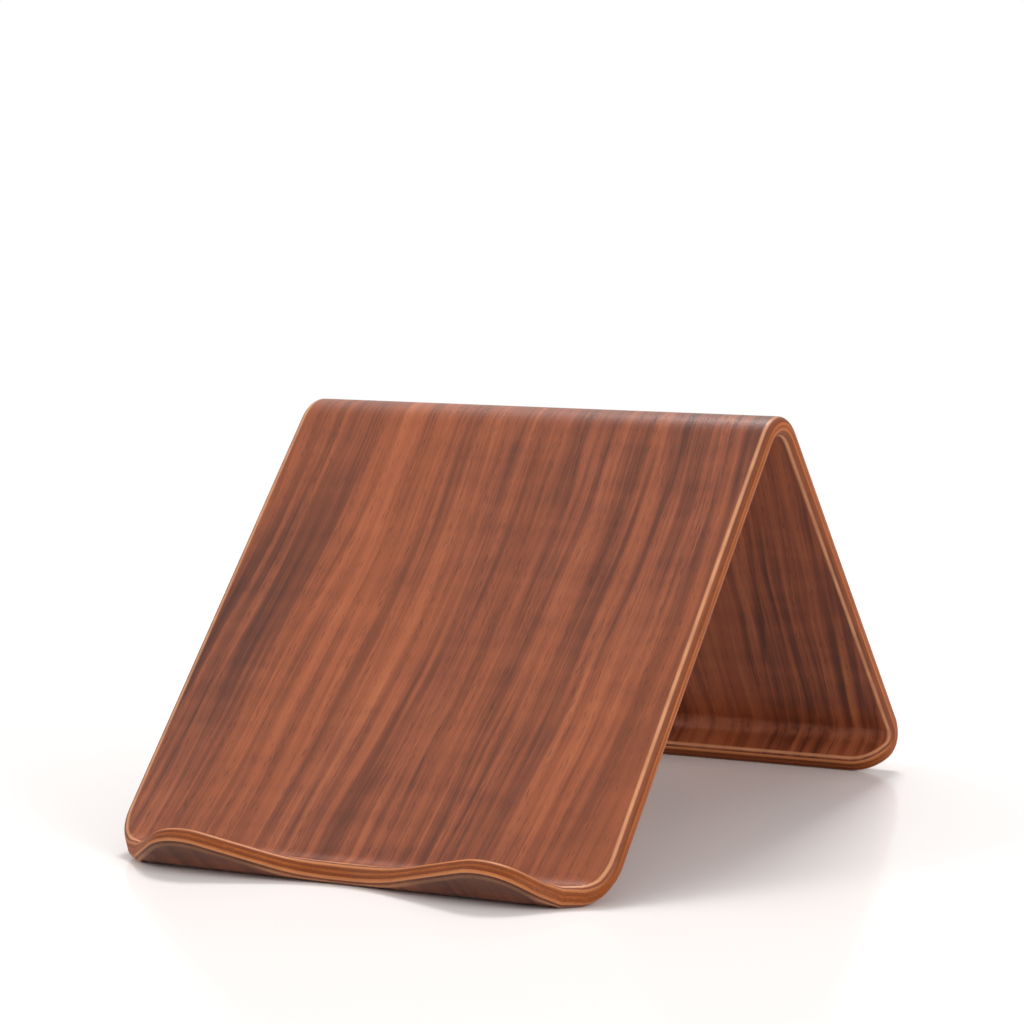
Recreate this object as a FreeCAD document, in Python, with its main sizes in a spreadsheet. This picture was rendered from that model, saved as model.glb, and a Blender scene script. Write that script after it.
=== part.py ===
"""A tablet stand: one strip of walnut-faced plywood, pressed to shape in a mould.

Lengths are in millimetres and angles in degrees. +X is to the right seen from the front, +Y runs
to the rear and +Z is up. The origin is on the table, in the middle of the stand's footprint.

From front to rear the strip makes the lip, trough, backrest, apex, leg, heel and foot. A tablet
touches its tablet face, and its under face is the other one. Its seven plies are glued, and each
is a piece of its own.
"""

import FreeCAD, Part
import math
import os

import Sketcher
from FreeCAD import Placement, Rotation, Vector

# Name, value and meaning of every driving dimension.
DRIVING_SIZES = [
    ("strip_width", 138.0, "width of the strip"),
    ("face_veneer", 0.6, "thickness of each walnut face veneer"),
    ("core_ply", 0.76, "thickness of each ply of the core"),
    ("core_plies", 5, "number of plies in the core"),
    ("arris_radius", 1.8, "rounding all round both faces"),
    ("lip_pitch", 45.0, "rise of the lip above the table"),
    ("lip_blank", 14.0, "flat part of the lip before trimming"),
    ("trough_radius", 5.0, "inside radius of the trough"),
    ("trough_setback", 88.68, "trough line in front of the origin"),
    ("back_pitch", 46.0, "rise of the backrest above the table"),
    ("back_flat", 133.6, "flat part of the backrest, up the slope"),
    ("apex_radius", 8.0, "inside radius of the apex"),
    ("leg_lean", 39.7, "lean of the leg from upright"),
    ("heel_radius", 3.5, "inside radius of the heel"),
    ("foot_pitch", 40.0, "fall of the foot, towards the front"),
    ("foot_flat", 6.5, "flat part of the foot"),
    ("foot_corner", 11.7, "corner radius of the foot, on the flat strip"),
    ("dip_reach", 3.7, "reach of the lip at its middle, in front of the trough line"),
    ("dip_radius", 55.0, "radius of the lip's middle dip"),
    ("hump_reach", 14.2, "reach of the lip at its two humps"),
    ("hump_offset", 41.3, "each hump's distance from the middle"),
    ("hump_radius", 15.7, "radius of each hump"),
    ("shoulder_radius", 16.0, "radius between the lip's flank and the side"),
    ("shoulder_setback", 12.4, "start of the straight side, behind the trough line"),
    ("trim_allowance", 3.0, "waste round the pressed blank, before trimming"),
    ("cut_overrun", 0.3, "how far a trimming cut runs past its layer"),
]

# The plies between the two face veneers, from the under face to the tablet face.
CORE_PLIES = [
    "under_side_crossband",
    "under_side_long_ply",
    "centre_crossband",
    "tablet_side_long_ply",
    "tablet_side_crossband",
]

# The stretches of the moulding line and of the flat outline, in order.
LIP, TROUGH, BACKREST, APEX, LEG, HEEL, FOOT = range(7)
DIP, INNER_FLANK, HUMP, OUTER_FLANK, SHOULDER, SIDE, CORNER, REAR = range(8)

# The points of a stretch that a constraint can name, and the vertical axis of a sketch.
START, END, CENTRE = 1, 2, 3
ORIGIN_AXIS = -2

BOARD = "(2 * Sizes.face_veneer + Sizes.core_plies * Sizes.core_ply)"
CURVE_STEP = 2.0
FUSE_TOLERANCE = 1e-5

doc = FreeCAD.newDocument("TabletStand")


def make_sheet():
    sheet = doc.addObject("Spreadsheet::Sheet", "Sizes")
    for row, (name, value, meaning) in enumerate(DRIVING_SIZES, start=1):
        sheet.set(f"A{row}", name)
        sheet.set(f"B{row}", str(value))
        sheet.set(f"C{row}", meaning)
        sheet.setAlias(f"B{row}", name)
    doc.recompute()
    return sheet


def size(name):
    return float(getattr(sheet, name))


def heading(angle):
    """The unit vector, in side view, that rises by an angle towards the rear."""
    return Vector(math.cos(math.radians(angle)), math.sin(math.radians(angle)), 0)


# ---- The moulding line: the middle of the strip's thickness, in side view ----

def draw_moulding_line(sketch, slopes, flats, radii, trough_centre):
    """Lines and arcs in their first place, touching end to end."""
    point = trough_centre + heading(slopes[0] - 90) * radii[0] - heading(slopes[0]) * flats[0]
    for index, (slope, flat) in enumerate(zip(slopes, flats)):
        end = point + heading(slope) * flat
        sketch.addGeometry(Part.LineSegment(point, end), False)
        if index == len(radii):
            return
        next_slope = slopes[index + 1]
        inward = 90 if next_slope > slope else -90
        centre = end + heading(slope + inward) * radii[index]
        circle = Part.Circle(centre, Vector(0, 0, 1), radii[index])
        spokes = sorted(math.radians(angle - inward) for angle in (slope, next_slope))
        sketch.addGeometry(Part.ArcOfCircle(circle, *spokes), False)
        point = centre + heading(next_slope - inward) * radii[index]


def make_moulding_line():
    sketch = doc.addObject("Sketcher::SketchObject", "moulding_line")
    side_view = Rotation(Vector(0, 1, 0), Vector(0, 0, 1), Vector(1, 0, 0), "ZXY")
    sketch.Placement = Placement(Vector(), side_view)

    half = board / 2
    slopes = [
        -size("lip_pitch"),
        size("back_pitch"),
        size("leg_lean") - 90,
        size("foot_pitch") - 180,
    ]
    foot_blank = size("foot_flat") + size("trim_allowance")
    flats = [size("lip_blank"), size("back_flat"), size("back_flat"), foot_blank]
    radii = [size(name) + half for name in ("trough_radius", "apex_radius", "heel_radius")]
    trough_centre = Vector(-size("trough_setback"), size("trough_radius") + board, 0)
    draw_moulding_line(sketch, slopes, flats, radii, trough_centre)

    joins = [
        (LIP, END, TROUGH, START),
        (TROUGH, END, BACKREST, START),
        (BACKREST, END, APEX, END),
        (APEX, START, LEG, START),
        (LEG, END, HEEL, END),
        (HEEL, START, FOOT, START),
    ]
    for join in joins:
        sketch.addConstraint(Sketcher.Constraint("Tangent", *join))

    # The foot's rounded tip touches the table, which settles the leg's length.
    foot_fall = heading(size("foot_pitch"))
    arris = size("arris_radius")
    tip_height = arris + (half - arris) * foot_fall.x
    tip_height -= (arris + size("trim_allowance")) * foot_fall.y
    tip_rule = (
        f"Sizes.arris_radius + ({BOARD} / 2 - Sizes.arris_radius) * cos(Sizes.foot_pitch * 1 deg)"
        " - (Sizes.arris_radius + Sizes.trim_allowance) * sin(Sizes.foot_pitch * 1 deg)"
    )
    driven = [
        ("lip_slope", "Angle", (LIP,), math.radians(slopes[0]), "-Sizes.lip_pitch * 1 deg"),
        ("back_slope", "Angle", (BACKREST,), math.radians(slopes[1]), "Sizes.back_pitch * 1 deg"),
        ("leg_slope", "Angle", (LEG,), math.radians(slopes[2]), "(Sizes.leg_lean - 90) * 1 deg"),
        ("foot_slope", "Angle", (FOOT,), math.radians(slopes[3]), "(Sizes.foot_pitch - 180) * 1 deg"),
        ("trough_bend", "Radius", (TROUGH,), radii[0], f"Sizes.trough_radius + {BOARD} / 2"),
        ("apex_bend", "Radius", (APEX,), radii[1], f"Sizes.apex_radius + {BOARD} / 2"),
        ("heel_bend", "Radius", (HEEL,), radii[2], f"Sizes.heel_radius + {BOARD} / 2"),
        ("lip_length", "Distance", (LIP,), flats[0], "Sizes.lip_blank"),
        ("back_length", "Distance", (BACKREST,), flats[1], "Sizes.back_flat"),
        ("foot_length", "Distance", (FOOT,), foot_blank, "Sizes.foot_flat + Sizes.trim_allowance"),
        ("trough_place", "DistanceX", (TROUGH, CENTRE), trough_centre.x, "-Sizes.trough_setback"),
        ("trough_rise", "DistanceY", (TROUGH, CENTRE), trough_centre.y, f"Sizes.trough_radius + {BOARD}"),
        ("tip_rise", "DistanceY", (FOOT, END), tip_height, tip_rule),
    ]
    for name, kind, where, value, rule in driven:
        place = sketch.addConstraint(Sketcher.Constraint(kind, *where, value))
        sketch.renameConstraint(place, name)
        sketch.setExpression(f"Constraints.{name}", rule)
    doc.recompute()
    return sketch


class MouldedStrip:
    """Takes a place on the flat strip to its place on the moulded one.

    "along" is measured on the moulding line, from the trough line to the rear. "lift" is measured
    from the moulding line, towards the tablet face.
    """

    def __init__(self, sketch):
        self.stretches = []
        along = 0.0
        slope = -size("lip_pitch")
        for index, piece in enumerate(sketch.Geometry):
            if index in (TROUGH, APEX, HEEL):
                turn = math.degrees(piece.LastParameter - piece.FirstParameter)
                turn = turn if index == TROUGH else -turn
                start = piece.Center + heading(slope - math.copysign(90, turn)) * piece.Radius
            else:
                turn = 0
                start = piece.StartPoint
            self.stretches.append((along, piece.length(), start, slope, turn))
            along += piece.length()
            slope += turn
        trough = self.stretches[TROUGH]
        self.trough_line = trough[0] + trough[1] * size("lip_pitch") / trough[4]
        self.rear_end = along - self.trough_line

    def place(self, across, along, lift):
        along += self.trough_line
        start_along, length, start, slope, turn = self.stretches[0]
        for stretch in self.stretches:
            if along >= stretch[0]:
                start_along, length, start, slope, turn = stretch
        part = along - start_along
        if turn:
            radius = length / math.radians(abs(turn))
            inward = math.copysign(90, turn)
            slope_here = slope + turn * part / length
            middle = start + heading(slope + inward) * radius + heading(slope_here - inward) * radius
            slope = slope_here
        else:
            middle = start + heading(slope) * part
        point = middle + heading(slope + 90) * lift
        return Vector(across, point.x, point.y)

    def bends_between(self, first, last):
        """Where the line passes from flat to bend or back, between two places."""
        joints = [stretch[0] - self.trough_line for stretch in self.stretches]
        return [joint for joint in joints if first < joint < last]


# ---- The flat outline: the right half of the strip's edge, before bending ----

def make_flat_outline():
    """Drawn with the trough line as the X axis, and the front towards +Y."""
    sketch = doc.addObject("Sketcher::SketchObject", "flat_outline")
    half_width = size("strip_width") / 2
    dip_radius, hump_radius = size("dip_radius"), size("hump_radius")
    shoulder_radius, corner = size("shoulder_radius"), size("foot_corner")
    rear = strip.rear_end - size("trim_allowance")

    dip_centre = Vector(0, size("dip_reach") + dip_radius, 0)
    hump_centre = Vector(size("hump_offset"), size("hump_reach") - hump_radius, 0)
    shoulder_centre = Vector(half_width - shoulder_radius, -size("shoulder_setback"), 0)
    corner_centre = Vector(half_width - corner, corner - rear, 0)

    # Flanks lie on the line that touches the circles at both ends.
    gap = hump_centre - dip_centre
    inner = math.degrees(math.atan2(gap.y, gap.x) - math.acos((dip_radius + hump_radius) / gap.Length))
    gap = shoulder_centre - hump_centre
    lean = math.degrees(math.asin((hump_radius - shoulder_radius) / gap.Length))
    outer = math.degrees(math.atan2(gap.y, gap.x)) + 90 - lean

    def bend(centre, radius, *angles):
        circle = Part.Circle(centre, Vector(0, 0, 1), radius)
        return Part.ArcOfCircle(circle, *[math.radians(angle) for angle in angles])

    dip_end = dip_centre + heading(inner) * dip_radius
    hump_start = hump_centre - heading(inner) * hump_radius
    hump_end = hump_centre + heading(outer) * hump_radius
    shoulder_start = shoulder_centre + heading(outer) * shoulder_radius
    side = [shoulder_centre + heading(0) * shoulder_radius, corner_centre + heading(0) * corner]
    rear_corner = corner_centre + heading(-90) * corner
    stretches = [
        bend(dip_centre, dip_radius, -90, inner),
        Part.LineSegment(dip_end, hump_start),
        bend(hump_centre, hump_radius, outer, inner + 180),
        Part.LineSegment(hump_end, shoulder_start),
        bend(shoulder_centre, shoulder_radius, 0, outer),
        Part.LineSegment(*side),
        bend(corner_centre, corner, -90, 0),
        Part.LineSegment(rear_corner, Vector(0, -rear, 0)),
    ]
    sketch.addGeometry(stretches, False)

    joins = [
        (DIP, END, INNER_FLANK, START),
        (INNER_FLANK, END, HUMP, END),
        (HUMP, START, OUTER_FLANK, START),
        (OUTER_FLANK, END, SHOULDER, END),
        (SHOULDER, START, SIDE, START),
        (SIDE, END, CORNER, END),
        (CORNER, START, REAR, START),
    ]
    for join in joins:
        sketch.addConstraint(Sketcher.Constraint("Tangent", *join))
    sketch.addConstraint(Sketcher.Constraint("PointOnObject", DIP, CENTRE, ORIGIN_AXIS))
    sketch.addConstraint(Sketcher.Constraint("PointOnObject", DIP, START, ORIGIN_AXIS))
    sketch.addConstraint(Sketcher.Constraint("PointOnObject", REAR, END, ORIGIN_AXIS))
    sketch.addConstraint(Sketcher.Constraint("Vertical", SIDE))
    sketch.addConstraint(Sketcher.Constraint("Horizontal", REAR))

    strip_length = (
        "moulding_line.Shape.Length - Sizes.lip_blank - Sizes.trim_allowance"
        f" - (Sizes.trough_radius + {BOARD} / 2) * Sizes.lip_pitch * pi / 180"
    )
    driven = [
        ("dip_bend", "Radius", (DIP,), dip_radius, "Sizes.dip_radius"),
        ("hump_bend", "Radius", (HUMP,), hump_radius, "Sizes.hump_radius"),
        ("shoulder_bend", "Radius", (SHOULDER,), shoulder_radius, "Sizes.shoulder_radius"),
        ("corner_bend", "Radius", (CORNER,), corner, "Sizes.foot_corner"),
        ("dip_place", "DistanceY", (DIP, START), size("dip_reach"), "Sizes.dip_reach"),
        ("hump_across", "DistanceX", (HUMP, CENTRE), hump_centre.x, "Sizes.hump_offset"),
        ("hump_along", "DistanceY", (HUMP, CENTRE), hump_centre.y, "Sizes.hump_reach - Sizes.hump_radius"),
        ("side_place", "DistanceX", (SIDE, START), half_width, "Sizes.strip_width / 2"),
        ("side_start", "DistanceY", (SIDE, START), shoulder_centre.y, "-Sizes.shoulder_setback"),
        ("rear_place", "DistanceY", (REAR, END), -rear, f"-({strip_length})"),
    ]
    for name, kind, where, value, rule in driven:
        place = sketch.addConstraint(Sketcher.Constraint(kind, *where, value))
        sketch.renameConstraint(place, name)
        sketch.setExpression(f"Constraints.{name}", rule)
    doc.recompute()
    return sketch


# ---- Trimming: each ply's edge is bevelled, and together the bevels make the rounded arris ----

def inset_at(lift):
    """How far the rounding moves the cut inwards, at a lift from the moulding line."""
    radius = size("arris_radius")
    climb = abs(lift) - (board / 2 - radius)
    if climb <= 0:
        return 0.0
    return radius - math.sqrt(max(0.0, radius ** 2 - climb ** 2))


def trace(first, last):
    """Places and inward directions on the flat strip, from one stretch of the outline to another."""
    places = []
    for index in range(first, last + 1):
        piece = flat_outline.Geometry[index]
        steps = math.ceil(piece.length() / CURVE_STEP)
        span = piece.LastParameter - piece.FirstParameter
        shares = [step / steps for step in range(steps + 1)]
        backwards = index in (HUMP, SHOULDER, CORNER)
        for share in shares[bool(places):]:
            share = 1 - share if backwards else share
            parameter = piece.FirstParameter + span * share
            point, tangent = piece.value(parameter), piece.tangent(parameter)[0]
            turn = -1 if backwards else 1
            inward = Vector(tangent.y * turn, -tangent.x * turn, 0)
            places.append((point, inward))
    return places


def mirror(places):
    """The same stretch of the outline on the strip's left half."""
    flip = [(Vector(-p.x, p.y, 0), Vector(-n.x, n.y, 0)) for p, n in places]
    return flip[::-1]


def cut_curves(places, lifts, insets):
    curves = []
    for lift, inset in zip(lifts, insets):
        points = [point + inward * inset for point, inward in places]
        curve = Part.BSplineCurve()
        curve.interpolate([strip.place(point.x, -point.y, lift) for point in points])
        curves.append(curve.toShape())
    return curves


def side_curves(across, first, last, lifts, insets):
    """Pairs of edges along one straight side, split where the strip starts or stops bending."""
    places = [first, *strip.bends_between(first, last), last]
    pairs = []
    for near, far in zip(places, places[1:]):
        pair = []
        for lift, inset in zip(lifts, insets):
            inner = across * (1 - inset / abs(across))
            start, middle, end = [
                strip.place(inner, along, lift) for along in (near, (near + far) / 2, far)
            ]
            if (middle - (start + end) / 2).Length > FUSE_TOLERANCE:
                pair.append(Part.Arc(start, middle, end).toShape())
            else:
                pair.append(Part.LineSegment(start, end).toShape())
        pairs.append(pair)
    return pairs


def cut_faces(bottom, top):
    """The faces left all round a layer that lies between two lifts."""
    slope = (inset_at(top) - inset_at(bottom)) / (top - bottom)
    overrun = size("cut_overrun")
    lifts = (bottom - overrun, top + overrun)
    insets = [inset_at(bottom) + slope * (lift - bottom) for lift in lifts]
    front = trace(DIP, SHOULDER)
    corner = trace(CORNER, CORNER)
    rear = trace(REAR, REAR)
    side = flat_outline.Geometry[SIDE]
    pairs = [cut_curves(mirror(front)[:-1] + front, lifts, insets)]
    pairs.append(cut_curves(corner, lifts, insets))
    pairs.append(cut_curves(mirror(corner), lifts, insets))
    pairs.append(cut_curves(rear[:-1] + mirror(rear), lifts, insets))
    for across in (side.StartPoint.x, -side.StartPoint.x):
        stretch = (-side.StartPoint.y, -side.EndPoint.y)
        pairs += side_curves(across, *stretch, lifts, insets)
    return [Part.makeRuledSurface(*pair) for pair in pairs]


def make_trim(name, bottom, top):
    """A block of the strip, thicker than one layer, cut all round to that layer's edge."""
    margin = size("cut_overrun") / 2
    block = make_layer_shape(bottom - margin, top + margin)
    parts, _ = block.generalFuse(cut_faces(bottom, top), FUSE_TOLERANCE)
    trim = doc.addObject("Part::Feature", f"{name}_trim")
    trim.Shape = max(parts.Solids, key=lambda solid: solid.Volume)
    trim.Placement = Placement()
    return trim


def make_layer_shape(bottom, top):
    """A layer of the untrimmed blank, between two lifts."""
    line = moulding_line.Shape.Wires[0]
    lower = line.makeOffset2D(-bottom, 0, False, True)
    section = lower.makeOffset2D(bottom - top, 0, True, True)
    reach = size("strip_width") / 2 + size("trim_allowance") * 2
    section.translate(Vector(-reach, 0, 0))
    return section.extrude(Vector(reach * 2, 0, 0))


# ---- The plies: each a layer of the pressed blank, trimmed ----

def make_layer(name, start_rule, thickness_rule):
    """A pressed layer, wider than the strip, that starts at a lift from the moulding line."""
    start = doc.addObject("Part::Offset2D", f"{name}_start")
    start.Source = moulding_line
    start.Mode = "Skin"
    start.setExpression("Value", f"-({start_rule})")
    section = doc.addObject("Part::Offset2D", f"{name}_section")
    section.Source = start
    section.Mode = "Skin"
    section.Fill = True
    section.setExpression("Value", f"-({thickness_rule})")
    layer = doc.addObject("Part::Extrusion", f"{name}_blank")
    layer.Base = section
    layer.DirMode = "Custom"
    layer.Dir = Vector(1, 0, 0)
    layer.Solid = True
    for length in ("LengthFwd", "LengthRev"):
        layer.setExpression(length, "Sizes.strip_width / 2 + Sizes.trim_allowance")
    return layer


def make_ply(name, start_rule, thickness_rule, bottom, top):
    ply = doc.addObject("Part::Common", name)
    ply.Label = name
    ply.Base = make_layer(name, start_rule, thickness_rule)
    ply.Tool = make_trim(name, bottom, top)
    ply.Placement = Placement()
    return ply


def make_plies():
    core, face = size("core_ply"), size("face_veneer")
    core_half = size("core_plies") / 2 * core
    core_half_rule = "Sizes.core_plies / 2 * Sizes.core_ply"
    face_rule = "Sizes.face_veneer"
    under_start = f"-{core_half_rule} - {face_rule}"
    plies = [make_ply("under_face_veneer", under_start, face_rule, -core_half - face, -core_half)]
    for index, name in enumerate(CORE_PLIES):
        start_rule = f"({index} - Sizes.core_plies / 2) * Sizes.core_ply"
        bottom = (index - size("core_plies") / 2) * core
        plies.append(make_ply(name, start_rule, "Sizes.core_ply", bottom, bottom + core))
    plies.append(make_ply("tablet_face_veneer", core_half_rule, face_rule, core_half, core_half + face))
    doc.recompute()
    return plies


def check_document():
    for item in doc.Objects:
        if "Invalid" in item.State or "Error" in item.State:
            raise RuntimeError(f"{item.Label} did not build: {item.State}")


def check_plies(plies):
    for ply in plies:
        if ply.Shape.isNull() or not ply.Shape.isValid() or len(ply.Shape.Solids) != 1:
            raise RuntimeError(f"{ply.Label} is not one sound solid")


sheet = make_sheet()
board = 2 * size("face_veneer") + size("core_plies") * size("core_ply")
moulding_line = make_moulding_line()
strip = MouldedStrip(moulding_line)
flat_outline = make_flat_outline()
all_plies = make_plies()
check_document()
check_plies(all_plies)

os.makedirs("parts", exist_ok=True)
for ply in all_plies:
    ply.Shape.exportStep(f"parts/{ply.Label}.step")
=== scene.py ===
import math

import bpy
import numpy as np
from mathutils import Matrix, Vector


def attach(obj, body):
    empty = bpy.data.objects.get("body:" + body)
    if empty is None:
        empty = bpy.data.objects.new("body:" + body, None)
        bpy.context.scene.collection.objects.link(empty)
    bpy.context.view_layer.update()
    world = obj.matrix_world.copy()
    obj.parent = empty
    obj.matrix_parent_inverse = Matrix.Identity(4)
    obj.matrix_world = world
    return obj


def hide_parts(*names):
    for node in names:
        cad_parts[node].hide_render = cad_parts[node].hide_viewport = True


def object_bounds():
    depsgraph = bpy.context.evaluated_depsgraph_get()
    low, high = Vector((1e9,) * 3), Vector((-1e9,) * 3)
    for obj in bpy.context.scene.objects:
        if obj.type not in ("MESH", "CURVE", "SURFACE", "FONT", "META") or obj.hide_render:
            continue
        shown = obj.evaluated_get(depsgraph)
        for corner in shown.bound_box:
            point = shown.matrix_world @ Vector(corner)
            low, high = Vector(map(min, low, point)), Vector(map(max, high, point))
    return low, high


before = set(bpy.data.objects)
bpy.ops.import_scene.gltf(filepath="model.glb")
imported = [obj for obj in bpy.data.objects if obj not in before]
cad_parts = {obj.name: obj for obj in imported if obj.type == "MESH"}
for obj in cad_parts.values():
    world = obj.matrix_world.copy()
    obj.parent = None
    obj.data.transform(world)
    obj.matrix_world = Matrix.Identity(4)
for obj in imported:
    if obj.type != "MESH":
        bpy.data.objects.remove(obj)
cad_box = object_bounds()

# Driving sizes of the part, in millimetres and degrees, under the names they have in its sheet.
STRIP_WIDTH = 138.0
FACE_VENEER = 0.6
CORE_PLY = 0.76
CORE_PLIES = 5
ARRIS_RADIUS = 1.8
LIP_PITCH = 45.0
TROUGH_RADIUS = 5.0
TROUGH_SETBACK = 88.68
BACK_PITCH = 46.0
BACK_FLAT = 133.6
APEX_RADIUS = 8.0
LEG_LEAN = 39.7
HEEL_RADIUS = 3.5
FOOT_PITCH = 40.0
FOOT_FLAT = 6.5
FOOT_CORNER = 11.7
DIP_REACH = 3.7
DIP_RADIUS = 55.0
HUMP_REACH = 14.2
HUMP_OFFSET = 41.3
HUMP_RADIUS = 15.7
SHOULDER_RADIUS = 16.0
SHOULDER_SETBACK = 12.4

MM = 0.001
BOARD = 2 * FACE_VENEER + CORE_PLIES * CORE_PLY
HALF_BOARD = BOARD / 2
CORE_HALF = CORE_PLIES * CORE_PLY / 2


# ---- The moulded strip: a place on the flat strip, taken to its place on the bent one ----

def heading(angle):
    return np.array([math.cos(math.radians(angle)), math.sin(math.radians(angle))])


def arc_drop(radius, slope, turn):
    """How far an arc goes, in side view, from a slope through a turn."""
    inward = math.copysign(90, turn)
    return radius * (heading(slope + inward) - heading(slope + turn + inward))


def make_stretches():
    """(start along, length, start point, slope, turn) of each line and arc from the trough line back."""
    trough = TROUGH_RADIUS + HALF_BOARD
    apex = APEX_RADIUS + HALF_BOARD
    heel = HEEL_RADIUS + HALF_BOARD
    leg_slope, foot_slope = LEG_LEAN - 90, FOOT_PITCH - 180

    point = np.array([-TROUGH_SETBACK, HALF_BOARD])
    point = point + arc_drop(trough, 0, BACK_PITCH) + heading(BACK_PITCH) * BACK_FLAT
    point = point + arc_drop(apex, BACK_PITCH, leg_slope - BACK_PITCH)
    tip_fall = heading(FOOT_PITCH)
    tip_height = ARRIS_RADIUS + (HALF_BOARD - ARRIS_RADIUS) * tip_fall[0] - ARRIS_RADIUS * tip_fall[1]
    drop = arc_drop(heel, leg_slope, foot_slope - leg_slope) + heading(foot_slope) * FOOT_FLAT
    leg_flat = (tip_height - drop[1] - point[1]) / heading(leg_slope)[1]

    runs = [
        (trough, 0, BACK_PITCH),
        (BACK_FLAT, BACK_PITCH, 0),
        (apex, BACK_PITCH, leg_slope - BACK_PITCH),
        (leg_flat, leg_slope, 0),
        (heel, leg_slope, foot_slope - leg_slope),
        (FOOT_FLAT, foot_slope, 0),
    ]
    lip_bend = trough * math.radians(LIP_PITCH)
    start = np.array([-TROUGH_SETBACK, HALF_BOARD])
    lip_end = start - arc_drop(trough, -LIP_PITCH, LIP_PITCH)
    lip_flat = HUMP_REACH
    stretches = [
        (-lip_bend - lip_flat, lip_flat, lip_end - heading(-LIP_PITCH) * lip_flat, -LIP_PITCH, 0),
        (-lip_bend, lip_bend, lip_end, -LIP_PITCH, LIP_PITCH),
    ]
    along = 0.0
    for amount, slope, turn in runs:
        length = amount * math.radians(abs(turn)) if turn else amount
        stretches.append((along, length, start, slope, turn))
        start = start + (arc_drop(amount, slope, turn) if turn else heading(slope) * length)
        along += length
    return stretches


STRETCHES = make_stretches()
BACKREST_END, LEG_START, HEEL_START = [stretch[0] for stretch in STRETCHES[4:7]]
REAR_END = STRETCHES[-1][0] + STRETCHES[-1][1]


def bend(places):
    """Bent places, in metres, of an array of (across, along, lift), in millimetres."""
    across, along, lift = places.T
    out = np.zeros_like(places)
    out[:, 0] = across
    for index, (first, length, start, slope, turn) in enumerate(STRETCHES):
        here = along >= first if index else np.ones(len(along), bool)
        part = along[here] - first
        angle = np.radians(slope + turn * part / length)
        if turn:
            radius = length / math.radians(abs(turn))
            side = math.copysign(math.pi / 2, turn)
            centre = start + heading(slope + math.copysign(90, turn)) * radius
            middle_y = centre[0] - np.cos(angle + side) * radius
            middle_z = centre[1] - np.sin(angle + side) * radius
        else:
            middle_y = start[0] + np.cos(angle) * part
            middle_z = start[1] + np.sin(angle) * part
        out[here, 1] = middle_y - np.sin(angle) * lift[here]
        out[here, 2] = middle_z + np.cos(angle) * lift[here]
    return out * MM


# ---- The flat outline: places and outward directions round the strip, before bending ----

# Steps along each part of the front edge's right half, and round a foot corner.
DIP_STEPS, DIP_LINE_STEPS, HUMP_STEPS, HUMP_LINE_STEPS, SHOULDER_STEPS = 5, 4, 11, 3, 9
CORNER_STEPS = 15


def arc_places(centre, radius, first, last, steps, hollow=False):
    """Places on an arc and their outward directions, which point to its centre if it is hollow."""
    places = []
    for angle in np.linspace(first, last, steps + 1):
        out = heading(angle)
        places.append((np.array(centre) + out * radius, -out if hollow else out))
    return places


def line_places(first, last, out, steps):
    """Places on a line, with one outward direction."""
    return [(first + (last - first) * share, out) for share in np.linspace(0, 1, steps + 1)]


def front_half():
    """From the middle of the dip to the start of the straight side: three arcs, with lines between."""
    dip = np.array([0, DIP_REACH + DIP_RADIUS])
    hump = np.array([HUMP_OFFSET, HUMP_REACH - HUMP_RADIUS])
    shoulder = np.array([STRIP_WIDTH / 2 - SHOULDER_RADIUS, -SHOULDER_SETBACK])
    gap = hump - dip
    inner = math.degrees(math.atan2(gap[1], gap[0]) - math.acos((DIP_RADIUS + HUMP_RADIUS) / np.hypot(*gap)))
    gap = shoulder - hump
    lean = math.degrees(math.asin((HUMP_RADIUS - SHOULDER_RADIUS) / np.hypot(*gap)))
    outer = math.degrees(math.atan2(gap[1], gap[0])) + 90 - lean
    places = arc_places(dip, DIP_RADIUS, -90, inner, DIP_STEPS, hollow=True)
    hump_arc = arc_places(hump, HUMP_RADIUS, inner + 180, outer, HUMP_STEPS)
    shoulder_arc = arc_places(shoulder, SHOULDER_RADIUS, outer, 0, SHOULDER_STEPS)
    places += line_places(places[-1][0], hump_arc[0][0], hump_arc[0][1], DIP_LINE_STEPS)[1:]
    places += hump_arc[1:]
    places += line_places(hump_arc[-1][0], shoulder_arc[0][0], shoulder_arc[0][1], HUMP_LINE_STEPS)[1:]
    return places + shoulder_arc[1:]


def rear_half(count):
    """From the middle of the rear end to the end of the straight side, with as many places as the front."""
    corner = np.array([STRIP_WIDTH / 2 - FOOT_CORNER, FOOT_CORNER - REAR_END])
    arc = arc_places(corner, FOOT_CORNER, -90, 0, CORNER_STEPS)
    flat_steps = count - 1 - CORNER_STEPS
    flat = line_places(np.array([0, -REAR_END]), arc[0][0], np.array([0, -1.0]), flat_steps)
    return flat + arc[1:]


def whole(half):
    """Both halves, from left to right, as an array of places and one of outward directions."""
    left = [(place * (-1, 1), out * (-1, 1)) for place, out in half[:0:-1]]
    both = left + half
    return np.array([place for place, _ in both]), np.array([out for _, out in both])


FRONT, FRONT_OUT = whole(front_half())
REAR, REAR_OUT = whole(rear_half((len(FRONT) + 1) // 2))
COLUMNS = len(FRONT)

# Rows of the mesh. Those of the front and rear follow the outline more and more closely, and those
# between are square to the strip: they start just past the shoulders and end just before the heel.
FRONT_ROWS, FLAT_ROWS, APEX_ROWS, REAR_ROWS = 36, 7, 18, 30
SHOULDER_MARGIN, HEEL_MARGIN = 4.0, 2.0
FRONT_LIMIT = SHOULDER_SETBACK + SHOULDER_MARGIN
REAR_LIMIT = HEEL_START - HEEL_MARGIN


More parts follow.
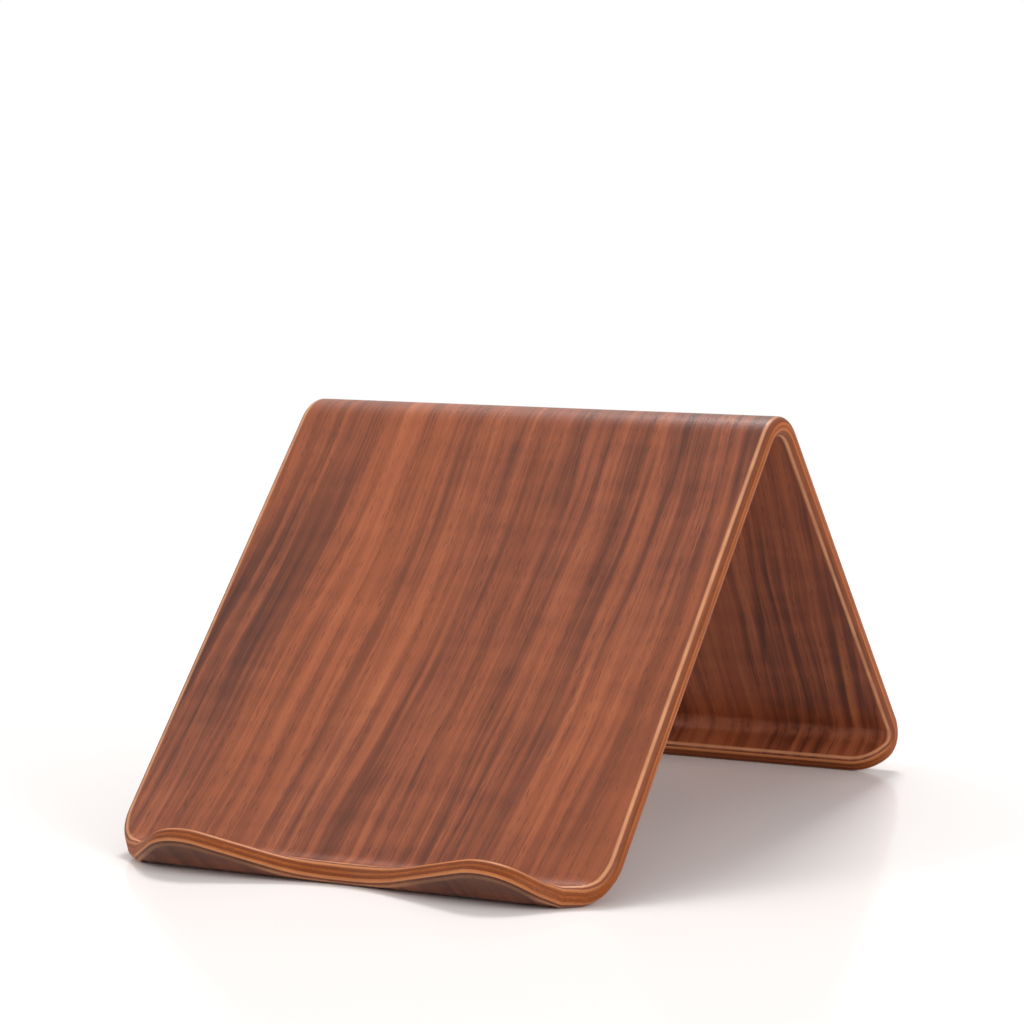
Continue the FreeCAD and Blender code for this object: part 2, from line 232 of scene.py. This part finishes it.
def middle_rows():
    """Distances along the strip of the square rows: backrest, apex and leg."""
    flat_back = np.linspace(FRONT_LIMIT, BACKREST_END, FLAT_ROWS + 1)[1:]
    apex = np.linspace(BACKREST_END, LEG_START, APEX_ROWS + 1)[1:]
    flat_leg = np.linspace(LEG_START, REAR_LIMIT, FLAT_ROWS + 1)[1:-1]
    return np.concatenate([flat_back, apex, flat_leg])


def flat_grid(inset):
    """Rows by columns of (across, along) over the strip, with its edge moved inwards."""
    front = FRONT - FRONT_OUT * inset
    rear = REAR - REAR_OUT * inset
    front_along, rear_along = -front[:, 1], -rear[:, 1]
    rows = [front_along + (FRONT_LIMIT - front_along) * share for share in np.linspace(0, 1, FRONT_ROWS + 1)]
    rows += [np.full(COLUMNS, along) for along in middle_rows()]
    rows += [REAR_LIMIT + (rear_along - REAR_LIMIT) * share for share in np.linspace(0, 1, REAR_ROWS + 1)]
    along = np.array(rows)
    share = (along - front_along) / (rear_along - front_along)
    across = front[:, 0] + (rear[:, 0] - front[:, 0]) * share
    return np.stack([across, along], axis=-1)


def border(grid):
    """The entries round the edge of a grid, in order."""
    return np.concatenate([grid[0], grid[1:, -1], grid[-1, -2::-1], grid[-2:0:-1, 0]])


OUTLINE = border(flat_grid(0))


def distance_from_edge(points):
    """How far points on the flat strip lie from its outline, in millimetres."""
    best = np.full(len(points), np.inf)
    for start, end in zip(OUTLINE, np.roll(OUTLINE, -1, axis=0)):
        run, gap = end - start, points - start
        share = np.clip(gap @ run / (run ** 2).sum(), 0, 1)
        best = np.minimum(best, np.hypot(*(gap - share[:, None] * run).T))
    return best


# ---- Ply meshes ----

# The largest turn, in degrees, between two rings of a rounded edge, and a lift too small to matter.
RING_STEP = 8
TINY = 1e-6


def rounding(lift):
    """How far the rounded arris moves the edge inwards, at a lift from the middle of the board."""
    climb = abs(lift) - (HALF_BOARD - ARRIS_RADIUS)
    if climb <= 0:
        return 0.0
    return ARRIS_RADIUS - math.sqrt(max(0.0, ARRIS_RADIUS ** 2 - climb ** 2))


def arris_turn(lift):
    """How far round the arris a lift is, in degrees: 0 on the square part of the edge."""
    climb = abs(lift) - (HALF_BOARD - ARRIS_RADIUS)
    if climb <= 0:
        return 0.0
    return math.copysign(math.degrees(math.asin(min(1.0, climb / ARRIS_RADIUS))), lift)


def edge_lifts(bottom, top):
    """Lifts of the rings round a ply's edge, close together where the arris turns most."""
    low, high = arris_turn(bottom), arris_turn(top)
    steps = max(1, math.ceil(abs(high - low) / RING_STEP))
    lifts = [bottom]
    for turn in np.linspace(low, high, steps + 1)[1:-1]:
        if turn:
            climb = ARRIS_RADIUS * math.sin(math.radians(abs(turn)))
            lifts.append(math.copysign(HALF_BOARD - ARRIS_RADIUS + climb, turn))
    return lifts + [top]


def ply_shape(lifts):
    """Places (across, along, lift), faces and the lowest and highest rings of a ply with these edge lifts.

    The under side and the upper side are whole grids. Between them come rings round the edge.
    """
    grids = [flat_grid(rounding(lift)) for lift in lifts]
    index = np.arange(grids[0].shape[0] * COLUMNS).reshape(-1, COLUMNS)
    ring = border(index)

    layers = [grid.reshape(-1, 2) for grid in grids]
    layers[1:-1] = [layer[ring] for layer in layers[1:-1]]
    places = np.concatenate([np.column_stack([p, np.full(len(p), lift)]) for p, lift in zip(layers, lifts)])
    starts = np.cumsum([0] + [len(layer) for layer in layers[:-1]])

    corners = [index[:-1, :-1], index[:-1, 1:], index[1:, 1:], index[1:, :-1]]
    side = np.stack([corner.ravel() for corner in corners], axis=1)
    faces = [side[:, ::-1], side + starts[-1]]
    rings = [ring] + [np.arange(len(ring)) + start for start in starts[1:-1]] + [ring + starts[-1]]
    for low, high in zip(rings, rings[1:]):
        faces.append(np.stack([low, np.roll(low, -1), np.roll(high, -1), high], axis=1))
    return places, np.concatenate(faces), rings[0], rings[-1]


def mark_glued_rims(mesh, rims):
    """Makes the edges along these rings sharp, so that shading stays flat beside a glue line."""
    rims = [set(rim.tolist()) for rim in rims]
    flags = [any(a in rim and b in rim for rim in rims) for a, b in (e.vertices for e in mesh.edges)]
    mesh.attributes.new("sharp_edge", "BOOLEAN", "EDGE").data.foreach_set("value", flags)


def edge_turns(places):
    """How far the edge beside each place faces the lip or foot rather than a side: 0 to 1."""
    outs = np.concatenate([FRONT_OUT, REAR_OUT])
    anchors = np.concatenate([FRONT, REAR]) * (1, -1)
    turns = np.zeros(len(places), np.float32)
    end_zone = (places[:, 1] < FRONT_LIMIT) | (places[:, 1] > REAR_END - FOOT_CORNER)
    for point in np.nonzero(end_zone)[0]:
        nearest = np.argmin(((anchors - places[point, :2]) ** 2).sum(1))
        turns[point] = abs(outs[nearest][1])
    return turns


def store_strip_places(mesh, places):
    """Keeps what the materials need: each point's place on the flat strip, and how it lies to the edge."""
    places32 = places.astype(np.float32)
    mesh.attributes.new("strip_place", "FLOAT_VECTOR", "POINT").data.foreach_set("vector", places32.ravel())
    for name, values in (("rim", distance_from_edge(places[:, :2])), ("edge_turn", edge_turns(places32))):
        mesh.attributes.new(name, "FLOAT", "POINT").data.foreach_set("value", values.astype(np.float32))
    loops = np.zeros(len(mesh.loops), np.int32)
    mesh.loops.foreach_get("vertex_index", loops)
    flat = (places[:, :2] + (STRIP_WIDTH / 2, STRIP_WIDTH / 4)) / (REAR_END + STRIP_WIDTH / 2)
    mesh.uv_layers.new(name="strip_uv").data.foreach_set("uv", flat[loops].astype(np.float32).ravel())


def make_ply(node, material, bottom, top):
    places, faces, low_rim, high_rim = ply_shape(edge_lifts(bottom, top))
    name = f"{node}_visual"
    mesh = bpy.data.meshes.new(name)
    mesh.from_pydata(bend(places).tolist(), [], faces.tolist())
    mesh.update()
    mesh.polygons.foreach_set("use_smooth", np.ones(len(mesh.polygons), bool))
    glued = [rim for rim, lift in ((low_rim, bottom), (high_rim, top)) if abs(lift) < HALF_BOARD - TINY]
    mark_glued_rims(mesh, glued)
    store_strip_places(mesh, places)

    piece = bpy.data.objects.new(name, mesh)
    bpy.context.scene.collection.objects.link(piece)
    mesh.materials.append(material)
    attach(piece, "root")
    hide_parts(node)


# ---- Procedural wood ----

def linear(red, green, blue):
    """A linear colour from display values of 0 to 255."""
    def channel(value):
        value /= 255
        return value / 12.92 if value <= 0.04045 else ((value + 0.055) / 1.055) ** 2.4
    return (channel(red), channel(green), channel(blue), 1.0)


# Tones of the veneers, from the darkest to the palest, and the colours laid over them.
WALNUT_TONES = [
    (0.0, (62, 28, 18)),
    (0.28, (98, 49, 31)),
    (0.52, (138, 73, 46)),
    (0.76, (163, 93, 59)),
    (1.0, (186, 116, 76)),
]
WALNUT_WARM = linear(176, 92, 48)
WALNUT_PORE = linear(46, 21, 13)
# Paler arris colour: partly sanded wear, partly painted highlight.
WALNUT_SANDED_AND_HIGHLIGHT = linear(208, 146, 104)
WALNUT_CUT = linear(90, 45, 25)
# Painted shade under the lip.
WALNUT_PAINTED_LIP_SHADE = linear(66, 35, 22)
# Painted highlight in the heel's bend.
WALNUT_PAINTED_HEEL_HIGHLIGHT = linear(176, 106, 74)
CORE_TONES = [
    (0.0, (113, 52, 18)),
    (0.35, (148, 75, 29)),
    (0.65, (173, 95, 42)),
    (1.0, (198, 123, 63)),
]
CORE_END_GRAIN = linear(100, 46, 23)
CORE_DOT = linear(62, 29, 17)
CORE_GLUE = linear(74, 37, 23)
# Paler core arris colour: partly sanded wear, partly painted highlight.
CORE_SANDED_AND_HIGHLIGHT = linear(208, 146, 102)

# The grain's slow swing across the strip, and the sizes of its marks, in millimetres.
SWING_MIDDLE, SWING_LENGTH, SWING_REACH = 212.0, 430.0, 8.5
RING_SPACING = 6.6
PORE_WIDTH, PORE_LENGTH = 0.42, 5.2
WEAR_AND_HIGHLIGHT_SIZE, STAIN_SIZE, DOT_SIZE = 7.0, 9.0, 0.22
HEEL_MIDDLE = HEEL_START + 4.5

# Depths of the two kinds of relief, in metres.
WALNUT_RELIEF, CORE_RELIEF = 0.00005, 0.00004

WOOD_IOR, LACQUER_IOR, LACQUER_ROUGHNESS = 1.34, 1.5, 0.22


class Shader:
    """Short calls for the nodes of one material."""

    def __init__(self, name):
        self.material = bpy.data.materials.new(name)
        self.material.use_nodes = True
        self.nodes = self.material.node_tree.nodes
        self.links = self.material.node_tree.links
        self.surface = self.nodes["Principled BSDF"]

    def feed(self, socket, value):
        if hasattr(value, "is_output"):
            self.links.new(value, socket)
        else:
            socket.default_value = value

    def math(self, operation, *values):
        node = self.nodes.new("ShaderNodeMath")
        node.operation = operation
        for socket, value in zip(node.inputs, values):
            self.feed(socket, value)
        return node.outputs[0]

    def attribute(self, name):
        node = self.nodes.new("ShaderNodeAttribute")
        node.attribute_name = name
        return node

    def split(self, vector):
        node = self.nodes.new("ShaderNodeSeparateXYZ")
        self.feed(node.inputs[0], vector)
        return node.outputs

    def join(self, *values):
        node = self.nodes.new("ShaderNodeCombineXYZ")
        for socket, value in zip(node.inputs, values):
            self.feed(socket, value)
        return node.outputs[0]

    def noise(self, vector, detail=2.0, roughness=0.5):
        node = self.nodes.new("ShaderNodeTexNoise")
        self.feed(node.inputs["Vector"], vector)
        node.inputs["Scale"].default_value = 1.0
        node.inputs["Detail"].default_value = detail
        node.inputs["Roughness"].default_value = roughness
        return node.outputs[0]

    def cells(self, vector):
        """Distance to the nearest of scattered points, one to a unit cube."""
        node = self.nodes.new("ShaderNodeTexVoronoi")
        self.feed(node.inputs["Vector"], vector)
        node.inputs["Scale"].default_value = 1.0
        return node.outputs["Distance"]

    def span(self, value, low, high, first=0.0, last=1.0):
        """Eases from first to last as a value passes from low to high."""
        node = self.nodes.new("ShaderNodeMapRange")
        node.interpolation_type = "SMOOTHSTEP"
        for socket, number in zip(node.inputs, (value, low, high, first, last)):
            self.feed(socket, number)
        return node.outputs[0]

    def ramp(self, value, stops):
        node = self.nodes.new("ShaderNodeValToRGB")
        self.feed(node.inputs[0], value)
        band = node.color_ramp
        while len(band.elements) < len(stops):
            band.elements.new(0.5)
        for element, (place, colour) in zip(band.elements, stops):
            element.position = place
            element.color = linear(*colour)
        return node.outputs[0]

    def mix(self, share, first, second):
        node = self.nodes.new("ShaderNodeMix")
        node.data_type = "RGBA"
        self.feed(node.inputs[0], share)
        self.feed(node.inputs[6], first)
        self.feed(node.inputs[7], second)
        return node.outputs[2]

    def bump(self, height, depth):
        """A bump of a height from 0 to 1 that stands for a depth in metres."""
        node = self.nodes.new("ShaderNodeBump")
        node.inputs["Distance"].default_value = depth
        self.feed(node.inputs["Height"], height)
        self.feed(self.surface.inputs["Normal"], node.outputs[0])


def lacquer(shader, roughness, shine=0.5, film=0.14):
    """A thin satin lacquer over wood. The cut edges drink it in, so they have less shine and film."""
    shader.feed(shader.surface.inputs["Roughness"], roughness)
    shader.feed(shader.surface.inputs["IOR"], WOOD_IOR)
    shader.feed(shader.surface.inputs["Specular IOR Level"], shine)
    shader.feed(shader.surface.inputs["Coat Weight"], film)
    shader.feed(shader.surface.inputs["Coat Roughness"], LACQUER_ROUGHNESS)
    shader.feed(shader.surface.inputs["Coat IOR"], LACQUER_IOR)


def streaks(s, across, along, lift, width, length, seed, detail=2.0, roughness=0.5):
    """Noise drawn out along the grain: width across it and length along it, in millimetres."""
    depth = s.math("ADD", s.math("DIVIDE", lift, width), seed)
    place = s.join(s.math("DIVIDE", across, width), s.math("DIVIDE", along, length), depth)
    return s.noise(place, detail, roughness)


def walnut(name, seed, tone_middle, worn_and_highlight, leg_worn_and_highlight=1.0, leg_cut=0.40, lip_painted_shade=0.0, heel_painted_highlight=0.0):
    """Figured walnut veneer: the grain runs up the strip and follows its bends.

    worn is the least and most of the paler arris colour, which is partly sanded wear and partly painted
    highlight, and leg_worn_and_highlight scales it on the leg.
    leg_cut is a share of the colour laid over the leg's edge, lip_painted_shade of the painted shade under
    the lip, and heel_painted_highlight of the painted highlight in the heel.
    """
    s = Shader(name)
    across, along, lift = s.split(s.attribute("strip_place").outputs["Vector"])
    rim = s.attribute("rim").outputs["Fac"]

    # The grain meanders a little from the strip's own direction.
    swing_turn = s.math("MULTIPLY", s.math("SUBTRACT", along, SWING_MIDDLE), 2 * math.pi / SWING_LENGTH)
    swing = s.math("SINE", swing_turn)
    wander = streaks(s, across, along, lift, 46.0, 110.0, seed + 3.1)
    straight = s.math("MULTIPLY_ADD", swing, SWING_REACH, across)
    straight = s.math("MULTIPLY_ADD", s.math("SUBTRACT", wander, 0.5), 9.0, straight)

    # Growth rings: a slow fall in tone that ends in a darker line.
    ring_warp = streaks(s, straight, along, lift, 17.0, 240.0, seed + 7.7)
    ring_place = s.math("MULTIPLY_ADD", ring_warp, 5.2, s.math("DIVIDE", straight, RING_SPACING))
    phase = s.math("FRACT", ring_place)
    late = s.math("MULTIPLY", s.span(phase, 0.30, 0.88), s.span(phase, 0.88, 1.0, 1.0, 0.0))
    ring_weight = s.span(streaks(s, straight, along, lift, 13.0, 160.0, seed + 11.9), 0.40, 0.70)

    broad = streaks(s, straight, along, lift, 15.0, 240.0, seed, detail=1.5)
    medium = streaks(s, straight, along, lift, 2.6, 95.0, seed + 17.3, detail=2.5)
    fine = streaks(s, straight, along, lift, 0.6, 34.0, seed + 23.9, roughness=0.6)
    curl = streaks(s, straight, along, lift, 24.0, 6.0, seed + 29.2, detail=1.0)
    shades = [(broad, 0.62), (medium, 0.88), (fine, 0.46), (curl, 0.20)]
    tone = s.math("MULTIPLY_ADD", s.math("MULTIPLY", late, ring_weight), -0.26, tone_middle)
    for shade, weight in shades:
        tone = s.math("MULTIPLY_ADD", s.math("SUBTRACT", shade, 0.5), weight, tone)
    colour = s.ramp(tone, WALNUT_TONES)
    warmth = streaks(s, straight, along, lift, 21.0, 170.0, seed + 31.4)
    colour = s.mix(s.span(warmth, 0.35, 0.7, 0.0, 0.30), colour, WALNUT_WARM)

    # Pores: short dark dashes along the grain, thicker in the early wood.
    pore_depth = s.math("MULTIPLY_ADD", lift, 2.0, seed)
    pore_across, pore_along = s.math("DIVIDE", straight, PORE_WIDTH), s.math("DIVIDE", along, PORE_LENGTH)
    pore_place = s.join(pore_across, pore_along, pore_depth)
    early = s.span(phase, 0.0, 0.6, 0.30, 0.17)
    pores = s.span(s.math("SUBTRACT", s.cells(pore_place), early), -0.10, 0.06, 1.0, 0.0)
    colour = s.mix(s.math("MULTIPLY", pores, 0.45), colour, WALNUT_PORE)

    # The rounded arris is paler than the face beside it, partly from sanded wear and partly as a painted
    # highlight of the light it catches, and its cut edge is darker.
    leg = s.span(along, BACKREST_END, LEG_START)
    wear_and_highlight_place = s.join(s.math("DIVIDE", across, WEAR_AND_HIGHLIGHT_SIZE), s.math("DIVIDE", along, WEAR_AND_HIGHLIGHT_SIZE), seed)
    wear_and_highlight = s.noise(wear_and_highlight_place, 2.0)
    arris = s.math("MULTIPLY", s.span(rim, 2.1, 1.5), s.span(rim, 0.75, 1.15))
    arris = s.math("MULTIPLY", arris, s.span(wear_and_highlight, 0.25, 0.75, *worn_and_highlight))
    arris = s.math("MULTIPLY", arris, s.span(leg, 0.0, 1.0, 1.0, leg_worn_and_highlight))
    colour = s.mix(arris, colour, WALNUT_SANDED_AND_HIGHLIGHT)
    cut = s.math("MULTIPLY", s.span(rim, 1.0, 0.6), s.span(leg, 0.0, 1.0, 0.40, leg_cut))
    colour = s.mix(cut, colour, WALNUT_CUT)

    # Painted light at the tight bends: painted shade darkens the veneer under the lip, and a mottled painted
    # highlight lightens it in the heel.
    colour = s.mix(s.span(along, -9.0, -1.0, lip_painted_shade, 0.0), colour, WALNUT_PAINTED_LIP_SHADE)
    # The heel band is a painted highlight, broken up by the grain's mottle.
    heel_gap = s.math("ABSOLUTE", s.math("SUBTRACT", along, HEEL_MIDDLE))
    mottle = streaks(s, straight, along, lift, 3.4, 9.0, seed + 37.3, detail=3.0)
    heel = s.math("MULTIPLY", s.span(heel_gap, 5.0, 1.0), s.span(mottle, 0.38, 0.62))
    colour = s.mix(s.math("MULTIPLY", heel, heel_painted_highlight), colour, WALNUT_PAINTED_HEEL_HIGHLIGHT)
    s.feed(s.surface.inputs["Base Color"], colour)

    rough = s.math("MULTIPLY_ADD", pores, 0.14, s.span(rim, 1.9, 1.4, 0.40, 0.64))
    rough = s.math("MULTIPLY_ADD", s.math("SUBTRACT", fine, 0.5), 0.16, rough)
    lacquer(s, rough)
    height = s.math("MULTIPLY_ADD", pores, -0.8, s.math("MULTIPLY", fine, 0.5))
    s.bump(height, WALNUT_RELIEF)
    return s.material


def core_wood(name, seed, crosswise, contrast=1.0):
    """A core veneer, seen at its cut edges: streaks where the grain runs by, dots where it ends."""
    s = Shader(name)
    across, along, lift = s.split(s.attribute("strip_place").outputs["Vector"])
    side_to_side, grain = (along, across) if crosswise else (across, along)

    streak = streaks(s, side_to_side, grain, lift, 0.5, 34.0, seed, detail=3.0, roughness=0.6)
    patch = streaks(s, side_to_side, grain, lift, 5.0, 60.0, seed + 5.3)
    stain_across, stain_along = s.math("DIVIDE", across, STAIN_SIZE), s.math("DIVIDE", along, STAIN_SIZE)
    stain = s.noise(s.join(stain_across, stain_along, seed + 2.2), 2.0)
    tone = s.math("MULTIPLY_ADD", s.math("SUBTRACT", streak, 0.5), 0.95, 0.5)
    for shade, weight in ((patch, 0.6), (stain, 0.4)):
        tone = s.math("MULTIPLY_ADD", s.math("SUBTRACT", shade, 0.5), weight, tone)
    colour = s.ramp(tone, CORE_TONES)

    # End grain drinks more lacquer, so it is darker and redder than the grain seen from its side.
    outline = s.attribute("edge_turn").outputs["Fac"]
    ends = s.math("SUBTRACT", 1.0, outline) if crosswise else outline
    ends = s.math("MULTIPLY_ADD", s.math("SUBTRACT", ends, 0.5), contrast, 0.5)
    colour = s.mix(s.math("MULTIPLY", ends, 0.75), colour, CORE_END_GRAIN)
    dot_place = s.join(*[s.math("DIVIDE", place, DOT_SIZE) for place in (across, along, lift)])
    dots = s.span(s.cells(dot_place), 0.12, 0.30, 1.0, 0.0)
    colour = s.mix(s.math("MULTIPLY", s.math("MULTIPLY", dots, ends), 0.40), colour, CORE_DOT)

    # Thin dark glue lines between the plies.
    ply = s.math("FRACT", s.math("DIVIDE", s.math("ADD", lift, CORE_HALF + CORE_PLY), CORE_PLY))
    near = s.math("MULTIPLY", s.math("MINIMUM", ply, s.math("SUBTRACT", 1.0, ply)), CORE_PLY)
    glue = s.span(near, 0.02, 0.08, 1.0, 0.0)
    colour = s.mix(s.math("MULTIPLY", glue, 0.30), colour, CORE_GLUE)

    # The rounded arris is paler, most of all along the lip and foot: partly sanded wear, partly a painted
    # highlight.
    arris = s.span(s.math("ABSOLUTE", lift), 0.9, 1.8, 0.0, 0.50)
    arris = s.math("MULTIPLY", arris, s.math("MULTIPLY_ADD", outline, 0.90, 0.10))
    colour = s.mix(arris, colour, CORE_SANDED_AND_HIGHLIGHT)
    s.feed(s.surface.inputs["Base Color"], colour)

    lacquer(s, s.math("MULTIPLY_ADD", ends, 0.10, 0.46), shine=0.25, film=0.03)
    height = s.math("MULTIPLY_ADD", glue, -0.7, s.math("MULTIPLY", streak, 0.5))
    s.bump(height, CORE_RELIEF)
    return s.material


# worn sets the paler arris colour, partly sanded wear and partly painted highlight.
FACE = walnut("walnut_veneer_tablet_side", 4.0, tone_middle=0.47,
              worn_and_highlight=(0.60, 0.92), leg_worn_and_highlight=0.1, leg_cut=0.9)
# lip_painted_shade sets the painted shade under the lip, and heel_painted_highlight the painted highlight in
# the heel.
UNDER = walnut("walnut_veneer_under_side", 41.0, tone_middle=0.51,
               worn_and_highlight=(0.62, 0.95), lip_painted_shade=0.75, heel_painted_highlight=0.45)
LONG = core_wood("long_grain_core_veneer", 63.0, crosswise=False)
CROSS = core_wood("cross_grain_core_veneer", 87.0, crosswise=True)
CENTRE = core_wood("cross_grain_centre_veneer", 95.0, crosswise=True, contrast=0.1)

# Node, slot and material of each ply, from the under side to the tablet's side.
PLIES = [
    ("under_face_veneer", "walnut_face", UNDER),
    ("under_side_crossband", "cross_grain_core", CROSS),
    ("under_side_long_ply", "long_grain_core", LONG),
    ("centre_crossband", "cross_grain_core", CENTRE),
    ("tablet_side_long_ply", "long_grain_core", LONG),
    ("tablet_side_crossband", "cross_grain_core", CROSS),
    ("tablet_face_veneer", "walnut_face", FACE),
]


def make_plies():
    lifts = [-HALF_BOARD] + [(i - CORE_PLIES / 2) * CORE_PLY for i in range(CORE_PLIES + 1)] + [HALF_BOARD]
    for (node, slot, material), bottom, top in zip(PLIES, lifts, lifts[1:]):
        make_ply(node, material, bottom, top)


make_plies()


# ---- Studio ----

# Sizes are in metres.
FLOOR_RADIUS, FLOOR_SIDES = 3.0, 96
FADE_START, FADE_END = 0.34, 1.0
FLOOR_COLOUR, FLOOR_CLOUD = linear(236, 233, 232), linear(233, 229, 228)
FLOOR_ROUGHNESS, FLOOR_IOR = 0.16, 1.2

ROOM_COLOUR, ROOM_STRENGTH = (1.0, 0.985, 0.975, 1.0), 0.74
BACKDROP_COLOUR = (1.0, 1.0, 1.0, 1.0)

# Name, place in metres, width and depth in metres, power in watts and colour of each softbox.
SOFTBOXES = [
    ("key_softbox", (-1.30, -0.90, 1.10), 0.7, 0.7, 8.0, (1.0, 0.985, 0.96)),
    ("side_softbox", (1.5, -0.35, 0.75), 0.6, 0.9, 11.0, (1.0, 1.0, 1.0)),
    ("top_softbox", (-0.25, 0.80, 1.45), 0.5, 0.5, 16.0, (1.0, 1.0, 1.0)),
]

# The camera's place in metres, its right and forward directions, and its lens in millimetres.
CAMERA_PLACE = (0.42804, -0.82333, 0.19507)
CAMERA_RIGHT = (0.88759, 0.46054, -0.00915)
CAMERA_FORWARD = (-0.45809, 0.88043, -0.12245)
CAMERA_LENS, CAMERA_SENSOR = 125.62, 36.0


def make_floor():
    """A pale table top that fades into the white background all round."""
    angles = np.linspace(0, 2 * math.pi, FLOOR_SIDES, endpoint=False)
    ring = [(FLOOR_RADIUS * math.cos(angle), FLOOR_RADIUS * math.sin(angle), 0) for angle in angles]
    mesh = bpy.data.meshes.new("studio_floor")
    mesh.from_pydata(ring, [], [list(range(len(ring)))])
    floor = bpy.data.objects.new("studio_floor", mesh)
    bpy.context.scene.collection.objects.link(floor)
    s = Shader("studio_floor")
    place = s.nodes.new("ShaderNodeTexCoord").outputs["Object"]
    cloud = s.span(s.noise(place, 3.0), 0.3, 0.7, 0.0, 0.4)
    s.feed(s.surface.inputs["Base Color"], s.mix(cloud, FLOOR_COLOUR, FLOOR_CLOUD))
    s.feed(s.surface.inputs["Roughness"], FLOOR_ROUGHNESS)
    s.feed(s.surface.inputs["IOR"], FLOOR_IOR)
    x, y, _ = s.split(place)
    reach = s.math("SQRT", s.math("ADD", s.math("MULTIPLY", x, x), s.math("MULTIPLY", y, y)))
    s.feed(s.surface.inputs["Alpha"], s.span(reach, FADE_START, FADE_END, 1.0, 0.0))
    mesh.materials.append(s.material)


def make_softbox(name, place, width, depth, power, colour, aim):
    data = bpy.data.lights.new(name, "AREA")
    data.shape = "RECTANGLE"
    data.size, data.size_y = width, depth
    data.energy = power
    data.color = colour
    light = bpy.data.objects.new(name, data)
    bpy.context.scene.collection.objects.link(light)
    light.location = place
    light.rotation_euler = (Vector(aim) - Vector(place)).to_track_quat("-Z", "Y").to_euler()


def make_world():
    """Even room light, and pure white where the camera looks past the table."""
    world = bpy.data.worlds.new("studio_world")
    bpy.context.scene.world = world
    world.use_nodes = True
    nodes, links = world.node_tree.nodes, world.node_tree.links
    room = nodes["Background"]
    room.inputs["Color"].default_value = ROOM_COLOUR
    room.inputs["Strength"].default_value = ROOM_STRENGTH
    backdrop = nodes.new("ShaderNodeBackground")
    backdrop.inputs["Color"].default_value = BACKDROP_COLOUR
    choice = nodes.new("ShaderNodeMixShader")
    links.new(nodes.new("ShaderNodeLightPath").outputs["Is Camera Ray"], choice.inputs[0])
    links.new(room.outputs[0], choice.inputs[1])
    links.new(backdrop.outputs[0], choice.inputs[2])
    links.new(choice.outputs[0], nodes["World Output"].inputs["Surface"])


def make_studio():
    make_floor()
    make_world()
    low, high = cad_box
    for softbox in SOFTBOXES:
        make_softbox(*softbox, aim=(low + high) / 2)
    bpy.context.scene.view_settings.view_transform = "Standard"


def make_camera():
    """At the photograph's viewing angle: from the front right, looking a little down."""
    data = bpy.data.cameras.new("camera")
    data.sensor_width = CAMERA_SENSOR
    data.lens = CAMERA_LENS
    data.clip_start = 0.05
    data.clip_end = 50.0
    camera = bpy.data.objects.new("camera", data)
    bpy.context.scene.collection.objects.link(camera)
    right = Vector(CAMERA_RIGHT).normalized()
    forward = Vector(CAMERA_FORWARD).normalized()
    up = right.cross(forward).normalized()
    stance = Matrix((right, up, -forward)).transposed().to_4x4()
    stance.translation = CAMERA_PLACE
    camera.matrix_world = stance
    bpy.context.scene.camera = camera


make_studio()
make_camera()
